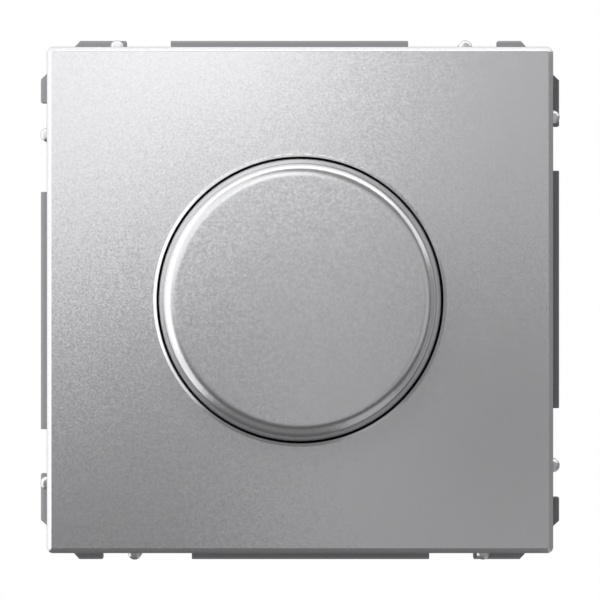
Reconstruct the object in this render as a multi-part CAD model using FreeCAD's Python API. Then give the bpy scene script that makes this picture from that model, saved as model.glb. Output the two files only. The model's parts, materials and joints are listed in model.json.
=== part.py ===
"""Rotary dimmer module: a square front plate with a push-and-turn knob, and the works behind it.

Millimetres. The front faces -Y, +Z is up and +X is right as seen from the front. The origin lies on
the knob's axis, in the plane of the skirt's rear rim, where the module seats in its frame.
"""

import FreeCAD, Part
import math
import os

from FreeCAD import Vector

# Gaps between neighbouring pieces
running_gap = 0.05
loose_gap = 0.1

# Front plate
plate_width = 55.0
plate_depth = 7.0
plate_corner_radius = 0.7
plate_bevel = 0.6
plate_edge_rounding = 0.14
face_wall = 1.6
edge_band_depth = 2.2
skirt_set_back = 0.4
skirt_wall = 1.5
skirt_inner_corner = 1.5
cup_wall = 1.4
web_wall = 1.6
plate_rib_wall = 1.0
plate_rib_offset = 7.0
plate_rib_height = 3.0
peg_radius = 1.2
peg_offset = 21.2

# Opening for the knob
opening_gap = 0.27
opening_rim_width = 0.28
opening_rim_height = 0.2

# Tabs and centring ribs along each side, measured clockwise from the side's middle
tab_reach = 0.68
tab_set_back = 2.8
tab_depth = 2.8
tab_edge_bevel = 0.2
tab_end_cut = 0.6
start_tab_span = (-24.5, -18.9)
latch_tab_span = (-14.05, 11.76)
end_tab_span = (21.46, 24.6)
latch_ramp = 0.6
centring_rib_radius = 0.75
centring_rib_reach = 0.73
centring_rib_depth = 4.0
centring_rib_bevel = 0.3
centring_rib_places = (-19.9, 17.97)

# Knob
knob_base_radius = 15.23
knob_top_radius = 14.45
knob_height = 11.0
knob_sunk = 0.35
knob_rounding = 1.4
knob_wall = 1.3
knob_travel = 1.2
core_wall = 1.5
core_ring_wall = 1.1
core_ring_lift = 1.6
core_edge_bevel = 0.8
hub_radius = 4.6
hub_push_gap = 0.6
hub_slot_width = 1.0
hub_slot_depth = 5.0
core_rib_count = 8
core_rib_wall = 1.1
hub_clip_wall = 0.5
hub_clip_width = 3.0
hub_clip_opening = 2.4

# Spindle
spindle_radius = 3.0
spindle_flat_cut = 1.5
spindle_clip_wall = 0.3
spindle_clip_radius = 4.2
spindle_clip_opening = 3.8
spindle_groove_radius = 2.4
spindle_tail = 0.4

# Chassis plate
chassis_wall = 1.2

# Bushing, nut and washer
thread_radius = 5.0
thread_stand_out = 0.4
nut_across_flats = 14.0
nut_height = 2.6
nut_bevel = 0.5
washer_height = 0.6
washer_radius = 7.4
washer_teeth = 10
washer_tooth_depth = 1.0
bushing_flange_height = 1.2
bushing_lug_offset = 6.8
bushing_lug_width = 1.6
bushing_lug_height = 0.9

# Potentiometer
pot_radius = 8.5
pot_wall = 0.6
pot_depth = 5.2
pot_rear_hole_gap = 0.3
track_wall = 1.0
track_hole_radius = 3.6
carrier_radius = 6.9
carrier_wall = 1.65
carrier_lug_reach = 0.85
carrier_lug_half_angle = 8.0
turn_half_angle = 135.0
stop_depth = 2.2
stop_play_angle = 1.0
contact_wall = 0.2
contact_ring_radius = 5.0
wiper_arm_width = 1.6
wiper_radius = 6.3
wiper_tip_width = 0.6
pot_leg_pitch = 2.5
pot_leg_width = 0.8
pot_leg_wall = 0.5
pot_leg_offset = 10.6

# Push switch
switch_width = 14.0
switch_depth = 6.2
switch_wall = 0.8
switch_guide_wall = 0.2
switch_edge_rounding = 0.6
base_wall = 0.8
plunger_wall = 1.15
plunger_stem_radius = 1.1
plunger_stem_length = 1.3
bridge_length = 10.0
bridge_width = 3.0
bridge_wall = 0.4
fixed_contact_offset = 4.0
fixed_contact_width = 1.6
spring_radius = 2.1
spring_wire = 0.32
spring_turns = 4

# Circuit board and what stands on it
board_wall = 1.6
board_edge_gap = 0.4
lead_width = 0.7
lead_hole_radius = 0.6
lead_stand_out = 0.9
choke_place = (-14.6, 6.5)
choke_core_radius = 6.0
choke_core_hole = 3.2
choke_core_height = 5.0
choke_core_bevel = 0.5
winding_wall = 0.95
winding_open_angle = 50.0
winding_groove_depth = 0.3
winding_turns = 18
film_capacitor_place = (15.2, -1.5)
film_capacitor_size = (6.0, 11.0, 13.0)
film_capacitor_rounding = 0.8
film_capacitor_lead_spread = 4.3
smoothing_capacitor_place = (-17.5, -5.0)
smoothing_capacitor_radius = 4.0
smoothing_capacitor_height = 11.2
smoothing_capacitor_bevel = 0.5
smoothing_capacitor_lead_spread = 2.0
can_groove_lift = 2.2
can_groove_depth = 0.4
chip_place = (9.0, -15.2)
chip_length = 9.6
chip_width = 6.4
chip_height = 3.3
chip_stand_off = 0.3
chip_legs_per_side = 4
chip_leg_pitch = 2.54
resistor_count = 3
resistor_pitch = 3.2
resistor_radius = 1.1
resistor_length = 6.4
resistor_bevel = 0.35
resistor_lead_span = 10.2
resistor_row_start = 3.2
fuse_radius = 2.6
fuse_length = 20.0
fuse_cap_length = 5.0
fuse_cap_wall = 0.25
fuse_height = -6.0
fuse_clip_wall = 0.4
fuse_clip_width = 3.4
fuse_clip_foot = 0.6
fuse_clip_mouth = 1.5

# Triac on the chassis
triac_place = (-10.5, 15.6)
triac_tab_length = 6.3
triac_width = 10.0
triac_tab_wall = 1.3
triac_body_length = 9.2
triac_body_wall = 4.4
triac_leg_pitch = 2.54
triac_leg_reach = 2.0
pad_wall = 0.25
triac_screw_radius = 1.5
triac_screw_head_radius = 2.7
triac_screw_head_height = 1.6
screw_head_bevel = 0.5

# Rear housing
housing_width = 49.0
housing_corner_cut = 9.0
housing_depth = 28.5
housing_wall = 1.6
housing_rear_wall = 1.8
post_place = 17.3
post_radius = 2.6
post_foot_radius = 3.8
rear_vent_count = 5
rear_vent_pitch = 3.6
rear_vent_width = 1.5
rear_vent_length = 19.0
rear_vent_start = 2.0
side_vent_count = 4
side_vent_pitch = 4.0
side_vent_length = 9.0

# Screws that hold the housing on the chassis
housing_screw_radius = 1.1
housing_screw_length = 9.0
housing_screw_head_radius = 2.2
housing_screw_head_height = 1.5
housing_screw_point = 1.1
housing_screw_tip_radius = 0.4
screw_slot_width = 0.7
screw_slot_depth = 0.7

# Terminals
terminal_count = 3
terminal_pitch = 7.0
cell_width = 5.2
cell_wall = 1.2
block_flange = 1.4
block_flange_wall = 1.2
wire_entry_radius = 1.35
wire_entry_funnel = 0.7
wire_entry_share = 0.32
driver_hole_share = 0.38
terminal_screw_share = 0.3
terminal_screw_head_share = 0.46
terminal_screw_head_height = 1.8
cage_share = 0.37
cage_side_wall = 0.8
cage_floor_wall = 1.2
cage_roof_wall = 0.9
cage_travel = 2.0
cage_end_gap = 0.2
bar_width = 3.0
bar_wall = 1.0

# Places along the knob's axis, from the front to the rear
plate_face = -plate_depth
face_rear = plate_face + face_wall
chassis_front = -chassis_wall
web_front = chassis_front - web_wall
washer_front = web_front - washer_height
nut_front = washer_front - nut_height
thread_front = nut_front - thread_stand_out
knob_face = plate_face - knob_height
knob_base = plate_face + knob_sunk
cap_inside = knob_face + knob_wall
core_rear = cap_inside + core_wall
hub_rear = thread_front - knob_travel - hub_push_gap
flange_rear = bushing_flange_height
pot_rear = flange_rear + pot_depth
track_rear = pot_rear - pot_wall
track_front = track_rear - track_wall
carrier_front = flange_rear + running_gap
carrier_rear = carrier_front + carrier_wall
switch_rear = pot_rear + switch_depth
switch_inside = pot_rear + switch_wall
spindle_clip_front = switch_inside + running_gap
spindle_rear = spindle_clip_front + spindle_clip_wall + spindle_tail
plunger_front = spindle_rear + running_gap
bridge_front = plunger_front + plunger_wall
bridge_rear = bridge_front + bridge_wall
fixed_contact_front = bridge_rear + knob_travel + running_gap
base_rear = switch_rear + base_wall
board_front = base_rear + loose_gap
board_rear = board_front + board_wall
housing_rear = housing_depth
housing_floor = housing_rear - housing_rear_wall

# Widths and radii that follow from the driving dimensions
plate_half = plate_width / 2
skirt_half = plate_half - skirt_set_back
skirt_inner_half = skirt_half - skirt_wall
opening_radius = knob_base_radius + opening_gap
cup_radius = opening_radius + cup_wall
chassis_half = skirt_inner_half - 2 * loose_gap
barrel_bore = spindle_radius + running_gap
flat_height = spindle_radius - spindle_flat_cut
pot_inner_radius = pot_radius - pot_wall
switch_half = switch_width / 2
switch_inner_half = switch_half - switch_wall - switch_guide_wall
housing_half = housing_width / 2
housing_inner_half = housing_half - housing_wall
board_half = housing_inner_half - board_edge_gap
knob_draft = (knob_base_radius - knob_top_radius) / (knob_base - knob_face)

# Depths in the terminal block, as shares of the room behind the board
terminal_room = housing_rear - board_rear
cell_rear = housing_rear - wire_entry_share * terminal_room
cage_rear = cell_rear - cage_end_gap
cage_front = cage_rear - cage_share * terminal_room
cage_middle = (cage_front + cage_rear) / 2
screw_room = min(cage_rear - cage_front, cell_width - 2 * loose_gap)
terminal_screw_radius = terminal_screw_share * screw_room
terminal_screw_head_radius = terminal_screw_head_share * screw_room
driver_hole_radius = driver_hole_share * screw_room

# Heights in the terminal block
block_low = -housing_half
head_low = block_low + cell_wall + running_gap
head_high = head_low + terminal_screw_head_height
cage_low = head_high + cage_travel + cage_end_gap
cage_floor_high = cage_low + cage_floor_wall
bar_low = cage_floor_high + cage_end_gap
bar_high = bar_low + bar_wall
wire_height = bar_high + wire_entry_radius + loose_gap
cage_roof_low = wire_height + wire_entry_radius + loose_gap
cage_high = cage_roof_low + cage_roof_wall
cell_high = cage_high + loose_gap
block_high = cell_high + cell_wall
block_half = terminal_pitch * (terminal_count - 1) / 2 + cell_width / 2 + cell_wall
terminal_places = [terminal_pitch * (i - (terminal_count - 1) / 2) for i in range(terminal_count)]

# Leads through the board, as places across the knob's axis
fixed_contact_places = [(-fixed_contact_offset, 0.0), (fixed_contact_offset, 0.0)]
pot_leg_places = [(pot_leg_pitch * i, -pot_leg_offset) for i in (-1, 0, 1)]
triac_leg_x = triac_place[0] + triac_tab_length + triac_body_length + triac_leg_reach
triac_leg_places = [(triac_leg_x, triac_place[1] + triac_leg_pitch * i) for i in (-1, 0, 1)]
bar_pin_places = [(x, (bar_low + bar_high) / 2) for x in terminal_places]


def box(x_low, x_high, y_low, y_high, z_low, z_high):
    """Block between two corners."""
    corner = Vector(x_low, y_low, z_low)
    return Part.makeBox(x_high - x_low, y_high - y_low, z_high - z_low, corner)


def rod(radius, y_low, y_high, x=0.0, z=0.0):
    """Cylinder along the knob's axis direction."""
    return Part.makeCylinder(radius, y_high - y_low, Vector(x, y_low, z), Vector(0, 1, 0))


def upright_rod(radius, z_low, z_high, x, y):
    """Cylinder along Z."""
    return Part.makeCylinder(radius, z_high - z_low, Vector(x, y, z_low), Vector(0, 0, 1))


def tube(outer, inner, y_low, y_high, x=0.0, z=0.0):
    """Ring along the knob's axis direction."""
    return rod(outer, y_low, y_high, x, z).cut(rod(inner, y_low, y_high, x, z))


def cone(radius_low, radius_high, y_low, y_high, x=0.0, z=0.0):
    """Cone along the knob's axis direction."""
    return Part.makeCone(radius_low, radius_high, y_high - y_low, Vector(x, y_low, z), Vector(0, 1, 0))


def prism(outline, y_low, y_high):
    """Straight solid over an outline of (x, z) points."""
    points = [Vector(x, y_low, z) for x, z in outline]
    face = Part.Face(Part.makePolygon(points + points[:1]))
    return face.extrude(Vector(0, y_high - y_low, 0))


def edges_along_y(shape, y_low, y_high):
    """Straight edges that run from one depth to the other."""
    chosen = []
    for edge in shape.Edges:
        bounds = edge.BoundBox
        if abs(bounds.YMin - y_low) < 1e-6 and abs(bounds.YMax - y_high) < 1e-6:
            chosen.append(edge)
    return chosen


def edges_at(shape, y):
    """Edges that lie in one plane across the knob's axis."""
    return [e for e in shape.Edges if abs(e.BoundBox.YMin - y) < 1e-6 and abs(e.BoundBox.YMax - y) < 1e-6]


def square(half, corner_radius, y_low, y_high):
    """Square block with rounded corners, centred on the knob's axis."""
    block = box(-half, half, y_low, y_high, -half, half)
    return block.makeFillet(corner_radius, edges_along_y(block, y_low, y_high))


def octagon(half, corner_cut, y_low, y_high):
    """Square block with its corners cut at 45 degrees."""
    short = half - corner_cut
    outline = [
        (half, short), (short, half), (-short, half), (-half, short),
        (-half, -short), (-short, -half), (short, -half), (half, -short),
    ]
    return prism(outline, y_low, y_high)


def hexagon(across_flats, y_low, y_high):
    """Six-sided block on the knob's axis."""
    corner = across_flats / math.sqrt(3)
    angles = [math.radians(60 * i + 30) for i in range(6)]
    return prism([(corner * math.cos(a), corner * math.sin(a)) for a in angles], y_low, y_high)


def turned(shape, degrees, x=0.0, z=0.0):
    """Copy turned about the knob's axis direction, clockwise as seen from the front."""
    copy = shape.copy()
    copy.rotate(Vector(x, 0, z), Vector(0, 1, 0), degrees)
    return copy


def moved(shape, x=0.0, y=0.0, z=0.0):
    """Copy moved by an offset."""
    copy = shape.copy()
    copy.translate(Vector(x, y, z))
    return copy


def joined(shapes):
    """One solid made of pieces that meet."""
    return shapes[0].fuse(shapes[1:]).removeSplitter()


def sector(inner, outer, middle_angle, half_angle, y_low, y_high):
    """Part of a ring about the knob's axis; angles run clockwise from the top."""
    corners = [(y_low, inner), (y_low, outer), (y_high, outer), (y_high, inner)]
    points = [Vector(0, y, z) for y, z in corners]
    face = Part.Face(Part.makePolygon(points + points[:1]))
    swept = face.revolve(Vector(0, 0, 0), Vector(0, 1, 0), 2 * half_angle)
    return turned(swept, middle_angle - half_angle)


def crossing_slot(radius, y_low, y_high, x, z):
    """Cutter for the driver slot of a screw head."""
    half = screw_slot_width / 2
    return box(x - half, x + half, y_low, y_high, z - radius, z + radius)


def tab(span, start_cut, end_cut, ramp):
    """Tab on the top side of the skirt, between two places along it."""
    start, end = span
    front = plate_face + tab_set_back
    rear = front + tab_depth
    low = skirt_half - skirt_wall / 2
    high = plate_half + tab_reach
    outline = [(start, low), (end, low), (end, high - end_cut), (end - end_cut, high)]
    outline += [(start + start_cut, high), (start, high - start_cut)]
    corners = [p for i, p in enumerate(outline) if p != outline[i - 1]]
    body = prism(corners, front, rear)
    body = body.cut(tab_edge_cutter(start, end, high, front, tab_edge_bevel))
    return body.cut(tab_edge_cutter(start, end, high, rear, -ramp))


def tab_edge_cutter(start, end, high, y, bevel):
    """Wedge that bevels a tab's outer edge; a negative bevel cuts its rear edge."""
    reach = abs(bevel)
    points = [Vector(start, y, high - reach), Vector(start, y + bevel, high), Vector(start, y, high)]
    face = Part.Face(Part.makePolygon(points + points[:1]))
    return face.extrude(Vector(end - start, 0, 0))


def centring_rib(place):
    """Half-round rib on the top side of the skirt, bevelled at its front end."""
    front = plate_face + tab_set_back - centring_rib_bevel
    rear = front + centring_rib_depth
    height = plate_half + centring_rib_reach - centring_rib_radius
    tip = centring_rib_radius - centring_rib_bevel
    nose = cone(tip, centring_rib_radius, front, front + centring_rib_bevel, place, height)
    return nose.fuse(rod(centring_rib_radius, front + centring_rib_bevel, rear, place, height))


def plate_side():
    """All that stands on the top side of the skirt; the other sides are turned copies."""
    rib_low = math.sqrt(cup_radius**2 - plate_rib_offset**2) - cup_wall / 2
    rib_high = skirt_inner_half + skirt_wall / 2
    rib_front = face_rear - face_wall / 2
    rib_rear = face_rear + plate_rib_height
    half = plate_rib_wall / 2
    pieces = [
        tab(start_tab_span, tab_end_cut, 0.0, tab_edge_bevel),
        tab(latch_tab_span, 0.0, 0.0, latch_ramp),
        tab(end_tab_span, 0.0, tab_end_cut, tab_edge_bevel),
    ]
    pieces += [centring_rib(place) for place in centring_rib_places]
    for offset in (-plate_rib_offset, plate_rib_offset):
        pieces.append(box(offset - half, offset + half, rib_front, rib_rear, rib_low, rib_high))
    return pieces


def plate_shell():
    """Bevelled face with the skirt behind it, hollow from the rear."""
    band_rear = plate_face + edge_band_depth
    band = square(plate_half, plate_corner_radius, plate_face, band_rear)
    band = band.makeChamfer(plate_bevel, edges_at(band, plate_face))
    band = band.makeFillet(plate_edge_rounding, edges_at(band, plate_face + plate_bevel))
    skirt = square(skirt_half, plate_corner_radius, plate_face + plate_bevel, 0.0)
    room = square(skirt_inner_half, skirt_inner_corner, face_rear, 1.0)
    return joined([band, skirt]).cut(room)


def opening_rim():
    """Low rim around the knob's opening, sloping outwards."""
    outer = opening_radius + opening_rim_width
    rim = cone(opening_radius + running_gap, outer, plate_face - opening_rim_height, plate_face)
    return joined([rim, rod(outer, plate_face, face_rear)])


def front_plate():
    """Moulded plate: face, rim, cup for the knob, skirt, tabs and stiffening ribs."""
    pieces = [plate_shell(), opening_rim(), rod(cup_radius, plate_face + face_wall / 2, chassis_front)]
    for quarter in range(4):
        pieces += [turned(piece, 90 * quarter) for piece in plate_side()]
    for x in (-peg_offset, peg_offset):
        pieces.append(rod(peg_radius, face_rear - face_wall / 2, -loose_gap, x, 0.0))
    plate = joined(pieces)
    plate = plate.cut(rod(opening_radius, plate_face - 2 * opening_rim_height, web_front))
    plate = plate.cut(rod(thread_radius + loose_gap, web_front, chassis_front))
    return plate


def knob_cap():
    """Outer shell of the knob: a slightly conical cup with a rounded front edge."""
    outer = cone(knob_top_radius, knob_base_radius, knob_face, knob_base)
    outer = outer.makeFillet(knob_rounding, edges_at(outer, knob_face))
    wall_start = knob_top_radius + knob_draft * knob_wall - knob_wall
    inner = cone(wall_start, knob_base_radius - knob_wall, cap_inside, knob_base)
    inner = inner.makeChamfer(core_edge_bevel / 2, edges_at(inner, cap_inside))
    return outer.cut(inner)


def cap_bore_radius(y):
    """Inner radius of the cap at a depth."""
    return knob_top_radius - knob_wall + knob_draft * (y - knob_face)


def knob_core():
    """Carrier inside the cap: disc, outer ring, ribs and the split hub that grips the spindle."""
    ring_rear = knob_base - core_ring_lift
    ring_front_radius = cap_bore_radius(cap_inside) - running_gap
    ring_rear_radius = cap_bore_radius(ring_rear) - running_gap
    outer = cone(ring_front_radius, ring_rear_radius, cap_inside, ring_rear)
    outer = outer.makeChamfer(core_edge_bevel, edges_at(outer, cap_inside))
    room = cone(ring_front_radius - core_ring_wall, ring_rear_radius - core_ring_wall, core_rear, ring_rear)
    core = outer.cut(room)
    ribs = []
    for i in range(core_rib_count):
        half = core_rib_wall / 2
        reach = ring_front_radius - core_ring_wall / 2
        rib = box(-half, half, core_rear - core_wall / 2, hub_rear - hub_slot_depth, hub_radius / 2, reach)
        ribs.append(turned(rib, 360 / core_rib_count * (i + 0.5)))
    core = joined([core, rod(hub_radius, core_rear - core_wall / 2, hub_rear)] + ribs)
    core = core.cut(spindle_section(core_rear, hub_rear, running_gap / 2))
    half_slot = hub_slot_width / 2
    slot = box(-2 * hub_radius, 2 * hub_radius, hub_rear - hub_slot_depth, hub_rear, -half_slot, half_slot)
    return core.cut(slot)


def hub_clip():
    """Open spring ring around the split end of the hub."""
    rear = hub_rear - 2 * loose_gap
    front = rear - hub_clip_width
    ring = tube(hub_radius + hub_clip_wall, hub_radius, front, rear)
    half = hub_clip_opening / 2
    return ring.cut(box(-half, half, front, rear, -2 * hub_radius, 0))


def spindle_section(y_low, y_high, growth=0.0):
    """Round rod with one flat, as the knob and the wiper carrier grip it."""
    radius = spindle_radius + growth
    flat = box(-radius, radius, y_low, y_high, flat_height + growth, radius + 1)
    return rod(radius, y_low, y_high).cut(flat)


def spindle():
    """Shaft with a flat at each gripped end and a groove for its retaining ring."""
    rear_flat_start = flange_rear - knob_travel
    round_part = rod(spindle_radius, hub_rear + loose_gap, rear_flat_start)
    gripped = spindle_section(core_rear + loose_gap, hub_rear + loose_gap)
    rear = spindle_section(rear_flat_start, spindle_rear)
    groove_rear = spindle_clip_front + spindle_clip_wall
    groove = tube(2 * spindle_radius, spindle_groove_radius, spindle_clip_front, groove_rear)
    return joined([round_part, gripped, rear]).cut(groove)


def spindle_clip():
    """Open retaining ring in the spindle's groove."""
    rear = spindle_clip_front + spindle_clip_wall
    ring = tube(spindle_clip_radius, spindle_groove_radius, spindle_clip_front, rear)
    half = spindle_clip_opening / 2
    return ring.cut(box(-half, half, spindle_clip_front, rear, -2 * spindle_clip_radius, 0))


def plate_nut():
    """Hexagon nut that clamps the front plate, the chassis and the bushing together."""
    body = hexagon(nut_across_flats, nut_front, washer_front)
    corner = nut_across_flats / math.sqrt(3)
    reach = nut_height + nut_bevel
    front_cone = cone(corner - nut_bevel, corner + nut_height, nut_front, nut_front + reach)
    rear_cone = cone(corner + nut_height, corner - nut_bevel, washer_front - reach, washer_front)
    body = body.common(front_cone).common(rear_cone)
    return body.cut(rod(thread_radius, nut_front, washer_front))


def lock_washer():
    """Washer with teeth around its hole."""
    notch_end = thread_radius + running_gap + washer_tooth_depth
    washer = tube(washer_radius, thread_radius + running_gap, washer_front, web_front)
    half = math.pi * thread_radius / washer_teeth / 2
    notch = box(-half, half, washer_front, web_front, 0, notch_end)
    for i in range(washer_teeth):
        washer = washer.cut(turned(notch, 360 / washer_teeth * i))
    return washer


def bushing_lug(growth, y_low, y_high):
    """Lug on the bushing's flange, or with a growth the hole that takes it."""
    half = bushing_lug_width / 2 + growth
    return box(-half, half, y_low, y_high, bushing_lug_offset - half, bushing_lug_offset + half)


def pot_bushing():
    """Threaded barrel with the flange that closes the potentiometer."""
    flange = rod(pot_radius, 0.0, flange_rear)
    lug = bushing_lug(0.0, -bushing_lug_height, flange_rear / 2)
    barrel = rod(thread_radius, thread_front, flange_rear)
    return joined([flange, lug, barrel]).cut(rod(barrel_bore, thread_front, flange_rear))


def post_places():
    """Where the housing screws stand."""
    return [(x, z) for x in (-post_place, post_place) for z in (-post_place, post_place)]


def triac_screw_x():
    """Where the triac's screw stands along its tab."""
    return triac_place[0] + triac_tab_length / 2


def chassis_plate():
    """Steel plate that carries the works, inside the skirt."""
    plate = square(chassis_half, skirt_inner_corner - loose_gap, chassis_front, 0.0)
    holes = [rod(thread_radius + loose_gap, chassis_front, 0.0)]
    holes.append(bushing_lug(loose_gap, chassis_front, 0.0))
    holes.append(rod(triac_screw_radius, chassis_front, 0.0, triac_screw_x(), triac_place[1]))
    holes += [rod(housing_screw_radius + loose_gap, chassis_front, 0.0, x, z) for x, z in post_places()]
    holes += [rod(peg_radius + loose_gap, chassis_front, 0.0, x, 0.0) for x in (-peg_offset, peg_offset)]
    return plate.cut(holes)


def pot_case():
    """Cup of the potentiometer, with its end stop and the opening for its legs."""
    case = rod(pot_radius, flange_rear, pot_rear).cut(rod(pot_inner_radius, flange_rear, track_rear))
    case = case.cut(rod(spindle_radius + pot_rear_hole_gap, track_rear, pot_rear))
    free_half = 180 - turn_half_angle - carrier_lug_half_angle - stop_play_angle
    inner = carrier_radius + 2 * loose_gap
    outer = pot_inner_radius + pot_wall / 2
    stop = sector(inner, outer, 180, free_half, flange_rear, flange_rear + stop_depth)
    half = pot_leg_pitch + pot_leg_width
    window_front = track_front - 2 * pot_leg_wall
    window = box(-half, half, window_front, track_rear, -pot_radius, pot_wall - pot_inner_radius)
    return joined([case, stop]).cut(window)


def track_disc():
    """Wafer that carries the resistive track."""
    return tube(pot_inner_radius - running_gap, track_hole_radius, track_front, track_rear)


def bent_leg(x, z_start, z_bend, y_front, wall, y_end):
    """Flat leg that runs down, then turns back towards the board."""
    half = pot_leg_width / 2
    down = box(x - half, x + half, y_front, y_front + wall, z_bend - wall / 2, z_start)
    back = box(x - half, x + half, y_front, y_end, z_bend - wall / 2, z_bend + wall / 2)
    return joined([down, back])


def pot_legs():
    """Three legs from the track to the board."""
    front = track_front - pot_leg_wall
    start = -carrier_radius + 2 * pot_leg_wall
    end = board_rear + lead_stand_out
    return [bent_leg(x, start, z, front, pot_leg_wall, end) for x, z in pot_leg_places]


def wiper_carrier():
    """Disc that turns with the spindle, with the lug that meets the end stop."""
    disc = rod(carrier_radius, carrier_front, carrier_rear)
    inner = carrier_radius - carrier_lug_reach
    outer = carrier_radius + carrier_lug_reach
    lug = sector(inner, outer, 0, carrier_lug_half_angle, carrier_front, carrier_rear)
    return joined([disc, lug]).cut(spindle_section(carrier_front, carrier_rear, running_gap))


def wiper_contact():
    """Spring contact on the carrier: a ring, an arm and the tip that rides on the track."""
    rear = carrier_rear + contact_wall
    ring = tube(contact_ring_radius, spindle_radius + 2 * loose_gap, carrier_rear, rear)
    half = wiper_arm_width / 2
    arm = box(-half, half, carrier_rear, rear, contact_ring_radius - half, wiper_radius)
    tip_rear = track_front - running_gap
    tip = box(-half, half, carrier_rear, tip_rear, wiper_radius - wiper_tip_width, wiper_radius)
    return joined([ring, arm, tip])


def switch_case():
    """Square box of the push switch, open at the rear."""
    case = square(switch_half, switch_edge_rounding, pot_rear, switch_rear)
    case = case.cut(square(switch_inner_half, switch_edge_rounding / 2, switch_inside, switch_rear))
    return case.cut(rod(spindle_radius + pot_rear_hole_gap, pot_rear, switch_inside))


def switch_base():
    """Plate that closes the push switch and carries its contacts."""
    base = square(switch_half, switch_edge_rounding, switch_rear, base_rear)
    half_width = fixed_contact_width / 2
    half = lead_width / 2
    for x, z in fixed_contact_places:
        base = base.cut(box(x - half, x + half, switch_rear, base_rear, z - half_width, z + half_width))
    return base


def fixed_contacts():
    """Two contact posts that the bridge closes, with leads through the board."""
    contacts = []
    half_width = fixed_contact_width / 2
    half = lead_width / 2
    for x, z in fixed_contact_places:
        post = box(x - half, x + half, fixed_contact_front, base_rear, z - half_width, z + half_width)
        lead = box(x - half, x + half, base_rear, board_rear + lead_stand_out, z - half, z + half)
        contacts.append(joined([post, lead]))
    return contacts


def switch_plunger():
    """Square slider with the stem that holds the bridge and guides the spring."""
    slider = square(switch_inner_half - loose_gap, switch_edge_rounding / 2, plunger_front, bridge_front)
    stem = rod(plunger_stem_radius, plunger_front, bridge_rear + plunger_stem_length)
    return joined([slider, stem])


def contact_bridge():
    """Strip that joins the two fixed contacts when the knob is pushed in."""
    half_length = bridge_length / 2
    half_width = bridge_width / 2
    strip = box(-half_length, half_length, bridge_front, bridge_rear, -half_width, half_width)
    return strip.cut(rod(plunger_stem_radius, bridge_front, bridge_rear))


def return_spring():
    """Coil spring between the bridge and the switch base, its wire a hexagon in section."""
    length = switch_rear - bridge_rear - spring_wire
    coil = Part.makeHelix(length / spring_turns, length, spring_radius)
    angles = [math.radians(60 * i + 30) for i in range(6)]
    half = spring_wire / 2
    section = [Vector(spring_radius + half * math.cos(a), 0, half * math.sin(a)) for a in angles]
    section_wire = Part.makePolygon(section + section[:1])
    wire = Part.Wire(coil.Edges).makePipeShell([section_wire], True, True)
    wire.rotate(Vector(0, 0, 0), Vector(1, 0, 0), -90)
    return moved(wire, y=bridge_rear + spring_wire / 2)


def capacitor_leads(x, z, spread):
    """Two square leads through the board."""
    half = lead_width / 2
    front = board_front - lead_width
    rear = board_rear + lead_stand_out
    return [box(x - half, x + half, front, rear, z + s - half, z + s + half) for s in (-spread, spread)]


def film_capacitor():
    """Rounded block capacitor with two leads."""
    x, z = film_capacitor_place
    width, height, length = film_capacitor_size
    front = board_front - height
    body = box(x - width / 2, x + width / 2, front, board_front, z - length / 2, z + length / 2)
    outer_edges = edges_along_y(body, front, board_front) + edges_at(body, front)
    body = body.makeFillet(film_capacitor_rounding, outer_edges)
    return joined([body] + capacitor_leads(x, z, film_capacitor_lead_spread))


def smoothing_capacitor():
    """Round can with its rolled groove and two leads."""
    x, z = smoothing_capacitor_place
    radius = smoothing_capacitor_radius
    front = board_front - smoothing_capacitor_height
    middle = board_front - can_groove_lift
    waist = radius - can_groove_depth
    can = joined([
        rod(radius, front, middle - can_groove_depth, x, z),
        cone(radius, waist, middle - can_groove_depth, middle, x, z),
        cone(waist, radius, middle, middle + can_groove_depth, x, z),
        rod(radius, middle + can_groove_depth, board_front, x, z),
    ])
    can = can.makeChamfer(smoothing_capacitor_bevel, edges_at(can, front))
    return joined([can] + capacitor_leads(x, z, smoothing_capacitor_lead_spread))


def choke_middle():
    """Depth of the choke's middle, so that its winding stands on the board."""
    return board_front - choke_core_height / 2 - winding_wall


def choke_core():
    """Ring core with bevelled edges."""
    x, z = choke_place
    front = choke_middle() - choke_core_height / 2
    rear = front + choke_core_height
    core = tube(choke_core_radius, choke_core_hole, front, rear, x, z)
    return core.makeChamfer(choke_core_bevel, edges_at(core, front) + edges_at(core, rear))


def choke_winding():
    """Open winding sleeve around the core, with the turns as ridges on its outer wall."""
    x, z = choke_place
    front = choke_middle() - choke_core_height / 2 - winding_wall
    rear = front + choke_core_height + 2 * winding_wall
    outer = choke_core_radius + winding_wall
    inner = choke_core_hole - winding_wall
    sleeve = tube(outer, inner, front, rear)
    hidden_core = tube(choke_core_radius, choke_core_hole, front + winding_wall, rear - winding_wall)
    gap_half = winding_open_angle / 2
    opening = sector(inner / 2, 2 * outer, 90, gap_half, front, rear)
    sleeve = sleeve.cut([hidden_core, opening])
    step = (360 - winding_open_angle) / winding_turns
    groove_radius = winding_wall / 2
    groove = rod(groove_radius, front, rear, outer + groove_radius - winding_groove_depth, 0)
    for i in range(1, winding_turns):
        sleeve = sleeve.cut(turned(groove, gap_half + step * i))
    return moved(sleeve, x=x, z=z)


def control_chip():
    """Two-row package with short bent legs."""
    x, z = chip_place
    half_length = chip_length / 2
    half_width = chip_width / 2
    front = board_front - chip_height
    rear = board_front - chip_stand_off
    pieces = [box(x - half_length, x + half_length, front, rear, z - half_width, z + half_width)]
    half = lead_width / 2
    middle = board_front - chip_height / 2
    reach = half_width + lead_width
    for i in range(chip_legs_per_side):
        leg_x = x + chip_leg_pitch * (i - (chip_legs_per_side - 1) / 2)
        for low, high in ((-reach, -half_width), (half_width, reach)):
            pieces.append(box(leg_x - half, leg_x + half, middle, board_front, z + low, z + high))
    return joined(pieces)


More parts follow.
